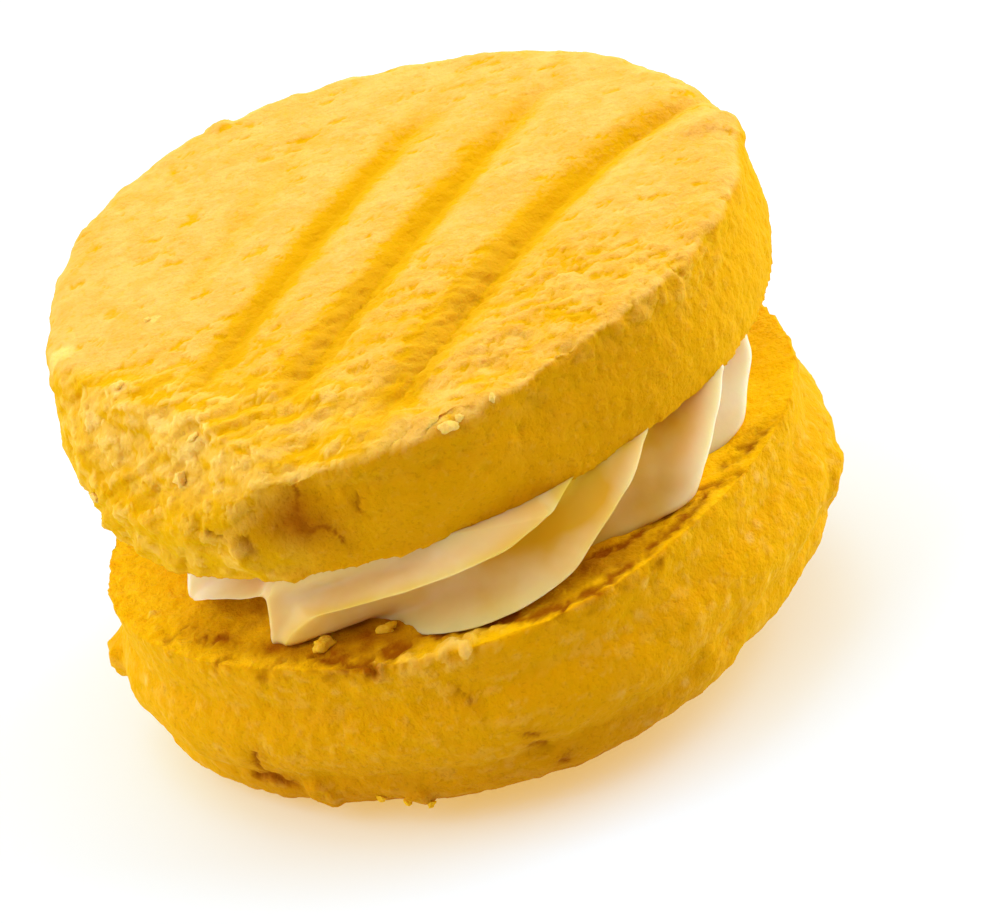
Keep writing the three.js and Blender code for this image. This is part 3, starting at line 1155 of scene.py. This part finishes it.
def lower_crumb(points, normals, sizes):
    """The lower round's relief in mm, and what its colours follow."""
    on_flat = smooth(normals[:, 2], 0.5, 0.95)
    wall = 1.0 - on_flat
    shake = jitter(points, seed=64)
    depth, cracked = wall_cracks(points, LOWER_CRACKS, sizes.radius, shake)
    lumps = wall_lumps(points, LOWER_LUMPS, sizes.radius, shake)
    flat_depth, flat_cracked, lip = face_cracks(points, FLAT_CRACKS, 2.0 * shake)
    out = from_axis(points)
    near_top = smooth(points[:, 2], -1.6 * MM, -0.4 * MM)
    rim = smooth(out, 20.0 * MM, 23.0 * MM) * near_top
    tiny = flakes(points, size=0.5, seed=74)
    near_cream = smooth(out, 17.0 * MM, 19.0 * MM) * smooth(-points[:, 1], 8.0 * MM, 14.0 * MM)
    coarse = np.clip(0.05 + 0.28 * wall + 0.15 * np.maximum(rim, near_cream * near_top), 0.0, 1.0)
    relief, hollow, _ = crumble(points, coarse, seed=60)
    swells = cloud(points, 3.6 * MM, seed=68, octaves=3)
    relief += 0.20 * swells * wall + (0.05 * wall + 0.08 * rim) * tiny
    bits = flecks(points, LOWER_FLECKS, 2.6 * shake) * near_top
    bits = bits * np.clip(0.75 + 0.8 * cloud(points, 0.9 * MM, seed=78), 0.0, 1.0)
    relief += lumps + 0.6 * bits + (0.04 * lip - 0.55 * flat_depth) * near_top - depth * wall
    return SimpleNamespace(
        relief=relief,
        on_flat=on_flat,
        wall=wall,
        near_top=near_top,
        out=out,
        hollow=hollow,
        tiny=tiny,
        bits=bits,
        cracked=cracked * wall,
        flat_depth=flat_depth,
        flat_cracked=flat_cracked,
    )


def lower_shares(points, normals, crumb, sizes):
    """The shares that the lower round's material reads, by name."""
    wall, tiny = crumb.wall, crumb.tiny
    near, luck = grains(points, 1.5 * MM, seed=70)
    specks = np.clip(3.2 * luck - 2.2, 0.0, 1.0) * fade(near, 0.08, 0.36) * wall
    # Painted shade in the crumb's hollows and in the cracks of the flat side.
    deep = 0.45 * crumb.hollow + 0.8 * crumb.flat_depth * crumb.near_top
    # Painted shade on the front of the wall, darker towards the bottom; the bottom edge is darker too.
    front = facing(points, LOWER_SHADY_SIDE, sizes.radius, 12.0, 26.0)
    low = 0.15 * front + 0.36 * front * smooth(-points[:, 2], 5.0 * MM, 12.6 * MM)
    low = (low + 0.4 * smooth(-points[:, 2], 11.6 * MM, 12.9 * MM)) * wall
    # Painted shadow on the front of the flat side, under the filling and the upper round.
    flat_shadow = 0.85 * front * crumb.on_flat * fade(crumb.out, 22.4 * MM, 24.6 * MM)
    flat_shadow *= 0.75 + 0.5 * cloud(points, 2.4 * MM, seed=72, octaves=3)
    uneven = np.clip(0.65 + 0.9 * cloud(points, 1.2 * MM, seed=76, octaves=3), 0.0, 1.0)
    cracked = np.maximum(crumb.cracked, crumb.flat_cracked * crumb.near_top * uneven)
    return {
        "wall": fade(normals[:, 2], 0.86, 0.99),
        "deep": deep + 0.35 * smooth(-tiny, 0.1, 0.5) * wall,
        "pale": 0.45 * specks + 0.13 * smooth(tiny, 0.2, 0.5) * wall + 0.75 * crumb.bits,
        "browned": cracked + low + np.maximum(flat_shadow, 0.0),
    }


class BISCUIT_OT_lower_round(Operator):
    """Shape and bake the lower round, and turn it over onto its rest spot"""

    bl_idname = "biscuit.lower_round"
    bl_label = "Lower Round"

    def execute(self, context):
        sizes = settings().lower
        piece = blank_round("lower_round", sizes)
        points = places_of(piece)
        puff_up(points, sizes)
        swell_outline(points, LOWER_SWELLS, sizes.radius)
        on_dome = upper_half(points, sizes)
        marks, _ = fork_marks(points, LOWER_HEADING, LOWER_TINES)
        points[:, 2] -= marks * on_dome
        points[:, 1:] *= -1.0
        move_to(piece, points)

        normals = normals_of(piece)
        crumb = lower_crumb(points, normals, sizes)
        move_to(piece, points + normals * (crumb.relief * MM)[:, None])
        for name, share in lower_shares(points, normals, crumb, sizes).items():
            paint(piece, name, share)
        put(piece, SANDWICH)
        resting = places_of(piece)
        resting[:, 2] = np.maximum(resting[:, 2], 0.0)
        move_to(piece, resting)
        colours = settings().colours
        material = shortbread("Lower shortbread", colours, colours.flat, mottle=0.04)
        finish_piece(piece, material, "bottom_shortbread", "bottom_biscuit")
        return {"FINISHED"}


def scatter(name, targets, ground, place, pale, browned, seed):
    """One mesh of small crumbs that sit on a finished round."""
    chance = random.Random(seed)
    start_piece()
    bpy.ops.mesh.primitive_ico_sphere_add(subdivisions=3, radius=0.5)
    first = bpy.context.object
    first.name = name
    ball = places_of(first)
    crumbs = [first]
    for _ in targets[1:]:
        more = first.copy()
        more.data = first.data.copy()
        bpy.context.scene.collection.objects.link(more)
        crumbs.append(more)
    for crumb, (x, y, z, long, wide) in zip(crumbs, targets):
        own_seed = chance.random() * 50.0
        lumpy = ball * (1.0 + 0.55 * cloud(ball, 0.45, own_seed, 3))[:, None]
        found, spot, way, _ = ground.closest_point_on_mesh(place @ (Vector((x, y, z)) * MM))
        if not found:
            raise RuntimeError(f"{name}: there is no surface under a crumb")
        spin = Matrix.Rotation(chance.uniform(0.0, 6.28), 3, "Z")
        turn = way.to_track_quat("Z", "X").to_matrix() @ spin
        lumpy *= np.array((long, wide, wide * chance.uniform(0.6, 0.9))) * MM
        sits = spot + way * 0.12 * wide * MM
        move_to(crumb, lumpy @ np.array(turn).T + np.array(sits))
        crumb.select_set(True)
    bpy.context.view_layer.objects.active = first
    if len(crumbs) > 1:
        bpy.ops.object.join()
    for share, value in (("wall", 0.0), ("deep", 0.1), ("pale", pale), ("browned", browned)):
        paint(first, share, np.full(len(first.data.vertices), value))
    return first


class BISCUIT_OT_crumbs(Operator):
    """Stick the loose crumbs to both rounds"""

    bl_idname = "biscuit.crumbs"
    bl_label = "Crumbs"

    def execute(self, context):
        colours = settings().colours
        ground = bpy.data.objects["upper_round"]
        upper = scatter(
            "upper_crumbs", UPPER_CRUMBS, ground, upper_place(), pale=0.7, browned=0.0, seed=5
        )
        dough = shortbread("Upper crumbs", colours, colours.top, mottle=0.3)
        finish_piece(upper, dough, "top_shortbread")
        ground = bpy.data.objects["lower_round"]
        # The lower crumbs are a little darker, as painted shade.
        lower = scatter(
            "lower_crumbs", LOWER_CRUMBS, ground, SANDWICH, pale=0.05, browned=0.1, seed=6
        )
        dough = shortbread("Lower crumbs", colours, colours.flat, mottle=0.3)
        finish_piece(lower, dough, "bottom_shortbread")
        return {"FINISHED"}


def crests_at(rise):
    """For each height, the angle in radians and the radius in metres of every fold's crest."""
    angles, radii = [], []
    folds = list(FOLD_CRESTS)
    for first in BACK_FOLDS:
        folds.append([(share, first + turn, out) for share, turn, out in BACK_SWEEP])
    for fold in folds:
        share, at, out = np.array(fold).T
        angles.append(np.radians(np.interp(rise, share, at)))
        radii.append(np.interp(rise, share, out) * MM)
    angles.append(angles[0] + 2.0 * math.pi)
    radii.append(radii[0])
    return np.array(angles), np.array(radii)


def blank_filling(name, columns):
    """A drum of unit radius and height, its side cut into rows for the folds to shape."""
    start_piece()
    bpy.ops.mesh.primitive_cylinder_add(
        vertices=columns, radius=1.0, depth=1.0, end_fill_type="TRIFAN"
    )
    piece = bpy.context.object
    piece.name = name
    bpy.ops.object.mode_set(mode="EDIT")
    bpy.ops.mesh.select_all(action="DESELECT")
    mesh = bmesh.from_edit_mesh(piece.data)
    for edge in mesh.edges:
        edge.select_set(abs(edge.verts[0].co.z - edge.verts[1].co.z) > 0.5)
    bmesh.update_edit_mesh(piece.data)
    bpy.ops.mesh.subdivide(number_cuts=FOLD_ROWS - 1)
    bpy.ops.object.mode_set(mode="OBJECT")
    return piece


def soften_crests(piece, rise):
    """Smooths the filling's side, and leaves its two flat faces alone."""
    side = piece.vertex_groups.new(name="Side")
    side.add(np.flatnonzero((rise > 0.02) & (rise < 0.98)).tolist(), 1.0, "REPLACE")
    soften = piece.modifiers.new("Soft crests", "SMOOTH")
    soften.iterations = CREST_SOFTENING
    soften.vertex_group = side.name
    bpy.ops.object.modifier_apply(modifier=soften.name)


class BISCUIT_OT_filling(Operator):
    """Pipe the filling between the flat sides"""

    bl_idname = "biscuit.filling"
    bl_label = "Piped Filling"

    def execute(self, context):
        sizes = settings().filling
        folds = len(FOLD_CRESTS) + len(BACK_FOLDS)
        piece = blank_filling("piped_filling", folds * FOLD_COLUMNS)

        points = places_of(piece)
        rise = points[:, 2] + 0.5
        out = from_axis(points)
        step = np.mod(np.arctan2(points[:, 1], points[:, 0]) / (2 * math.pi), 1.0) * folds
        step = np.round(step * FOLD_COLUMNS) / FOLD_COLUMNS
        fold = np.floor(step).astype(int) % folds
        between = np.mod(step, 1.0)
        angles, radii = crests_at(rise)
        pick = np.arange(len(points))
        at = angles[fold, pick] * (1.0 - between) + angles[fold + 1, pick] * between
        crest = radii[fold, pick] * (1.0 - between) + radii[fold + 1, pick] * between
        gap = smooth(np.degrees(angles[fold + 1, pick] - angles[fold, pick]), 0.0, 24.0)
        blunt = sizes.roundness * (1.0 + 2.5 * fade(rise, 0.0, 0.4))
        depths = np.array(VALLEY_DEPTHS + (1.0,) * len(BACK_FOLDS))[fold]
        dip = (np.hypot(np.sin(math.pi * between), blunt) - blunt) / (np.hypot(1.0, blunt) - blunt)
        curl = 0.72 + 0.28 * smooth(rise, 0.0, 0.10)
        reach = (sizes.valley + (crest - sizes.valley) * (1.0 - dip * gap * depths) * curl) * out
        points[:, 0] = sizes.shift[0] + reach * np.cos(at)
        points[:, 1] = sizes.shift[1] + reach * np.sin(at)
        up = UPPER_TIP.to_3x3() @ Vector((0, 0, 1))
        tip = ((points[:, 0] - UPPER_SHIFT.x) * up.x + (points[:, 1] - UPPER_SHIFT.y) * up.y) / up.z
        points[:, 2] = rise * (sizes.height - tip + 2 * FILLING_SINK) - FILLING_SINK
        move_to(piece, points)
        soften_crests(piece, rise)
        points = places_of(piece)
        silk = 0.10 * MM * cloud(points, 2.5 * MM, seed=80) * (out > 0.99)
        move_to(piece, points + normals_of(piece) * silk[:, None])

        # Painted shade and yellow bounce light on the cream, set for each fold at its crest and valley.
        tones = np.array(FOLD_SHADE + (BACK_SHADE,) * len(BACK_FOLDS) + FOLD_SHADE[:1])
        crest_tone = tones[fold, 0] * (1.0 - between) + tones[fold + 1, 0] * between
        valley_tone = tones[fold, 1] + (tones[fold, 2] - tones[fold, 1]) * smooth(rise, 0.3, 0.75)
        in_valley = smooth(dip * gap, 0.0, 0.5)
        paint(piece, "deep", crest_tone + (valley_tone - crest_tone) * in_valley)
        put(piece, SANDWICH)
        finish_piece(piece, buttercream(settings().colours), "buttercream", "cream_filling")
        return {"FINISHED"}


# ---------------------------------------------------------------------------------------------
# The stage
# ---------------------------------------------------------------------------------------------


def camera_place(stage):
    """The camera's matrix: it looks at the aim from an azimuth and elevation, and rolls."""
    right = Vector((math.cos(stage.azimuth), math.sin(stage.azimuth), 0))
    level = Vector((-math.sin(stage.azimuth), math.cos(stage.azimuth), 0))
    ahead = level * math.cos(stage.elevation) - Vector((0, 0, math.sin(stage.elevation)))
    up = right.cross(ahead)
    rolled_right = right * math.cos(stage.roll) - up * math.sin(stage.roll)
    rolled_up = right * math.sin(stage.roll) + up * math.cos(stage.roll)
    aim = SANDWICH @ Vector((0, 0, AIM_HEIGHT)) + AIM_RIGHT * rolled_right - AIM_DOWN * rolled_up
    place = Matrix((rolled_right, rolled_up, -ahead)).transposed().to_4x4()
    place.translation = aim - ahead * stage.distance
    return place


def lamp(name, strength, softness, azimuth, elevation, tint):
    """A soft sun that shines from an azimuth and elevation."""
    light = bpy.data.lights.new(name, "SUN")
    light.energy = strength
    light.angle = math.radians(softness)
    light.color = tint
    holder = bpy.data.objects.new(name, light)
    bpy.context.scene.collection.objects.link(holder)
    turn, tall = math.radians(azimuth), math.radians(elevation)
    towards = Vector((math.cos(turn) * math.cos(tall), math.sin(turn) * math.cos(tall), math.sin(tall)))
    holder.rotation_mode = "QUATERNION"
    holder.rotation_quaternion = towards.to_track_quat("Z", "Y")


def pale_table():
    """A matt bluish table top with the faintest unevenness; its orange glow is a painted warm glow."""
    material, tree, shader = new_material("Pale table")
    place = node(tree, "ShaderNodeTexCoord").outputs["Object"]
    # Bluish, so that with the orange glow the lit table looks white.
    tone = mix(tree, noise_in(tree, place, 0.02), (0.25, 0.54, 0.86), (0.26, 0.55, 0.87))
    link(tree, tone, shader.inputs["Base Color"])
    set_finish(shader, TABLE_FINISH)
    return material


def soft_room(stage):
    """White light from above and behind, and a weaker, warmer light from the front."""
    world = bpy.data.worlds.new("Soft room")
    world.use_nodes = True
    tree = world.node_tree
    towards = node(tree, "ShaderNodeVectorMath", operation="DOT_PRODUCT")
    link(tree, node(tree, "ShaderNodeTexCoord").outputs["Generated"], towards.inputs[0])
    towards.inputs[1].default_value = Vector(ABOVE_AND_BEHIND).normalized()
    light = mix(tree, spread(tree, towards.outputs["Value"], -0.1, 0.75), stage.front, stage.room)
    seen = node(tree, "ShaderNodeLightPath").outputs["Is Camera Ray"]
    background = tree.nodes["Background"]
    link(tree, mix(tree, seen, light, (1.0, 1.0, 1.0)), background.inputs["Color"])
    return world


class BISCUIT_OT_stage(Operator):
    """Lay the pale table, light it softly and set the camera"""

    bl_idname = "biscuit.stage"
    bl_label = "Table, Light and Camera"

    def execute(self, context):
        stage = settings().stage
        start_piece()
        bpy.ops.mesh.primitive_plane_add(size=TABLE_WIDTH, location=(0, 0, 0))
        table = bpy.context.object
        table.name = "table"
        table.data.materials.append(pale_table())
        context.scene.world = soft_room(stage)
        for name, *place_and_tint in LAMPS:
            lamp(name, getattr(stage, name.lower()), *place_and_tint)

        lens = bpy.data.cameras.new("Camera")
        lens.lens = stage.lens
        lens.sensor_width = 36.0
        lens.clip_start = 0.01
        camera = bpy.data.objects.new("Camera", lens)
        camera.matrix_world = camera_place(stage)
        context.scene.collection.objects.link(camera)
        context.scene.camera = camera
        context.scene.view_settings.view_transform = "Standard"
        return {"FINISHED"}


class BISCUIT_PT_panel(Panel):
    """The steps of making the biscuit, in order"""

    bl_idname = "BISCUIT_PT_panel"
    bl_label = "Sandwich Biscuit"
    bl_space_type = "VIEW_3D"
    bl_region_type = "UI"
    bl_category = "Biscuit"

    def draw(self, context):
        for step in STEPS:
            self.layout.operator(step.bl_idname)


STEPS = (
    BISCUIT_OT_stage,
    BISCUIT_OT_lower_round,
    BISCUIT_OT_filling,
    BISCUIT_OT_upper_round,
    BISCUIT_OT_crumbs,
)
CLASSES = (
    UpperRoundSizes,
    LowerRoundSizes,
    FillingSizes,
    BakeColours,
    StageSettings,
    BiscuitSettings,
    *STEPS,
    BISCUIT_PT_panel,
)


def register():
    for cls in CLASSES:
        bpy.utils.register_class(cls)
    bpy.types.Scene.biscuit = PointerProperty(type=BiscuitSettings)


def unregister():
    del bpy.types.Scene.biscuit
    for cls in reversed(CLASSES):
        bpy.utils.unregister_class(cls)


def main():
    register()
    bpy.ops.biscuit.stage()
    bpy.ops.biscuit.lower_round()
    bpy.ops.biscuit.filling()
    bpy.ops.biscuit.upper_round()
    bpy.ops.biscuit.crumbs()


if __name__ == "__main__":
    main()
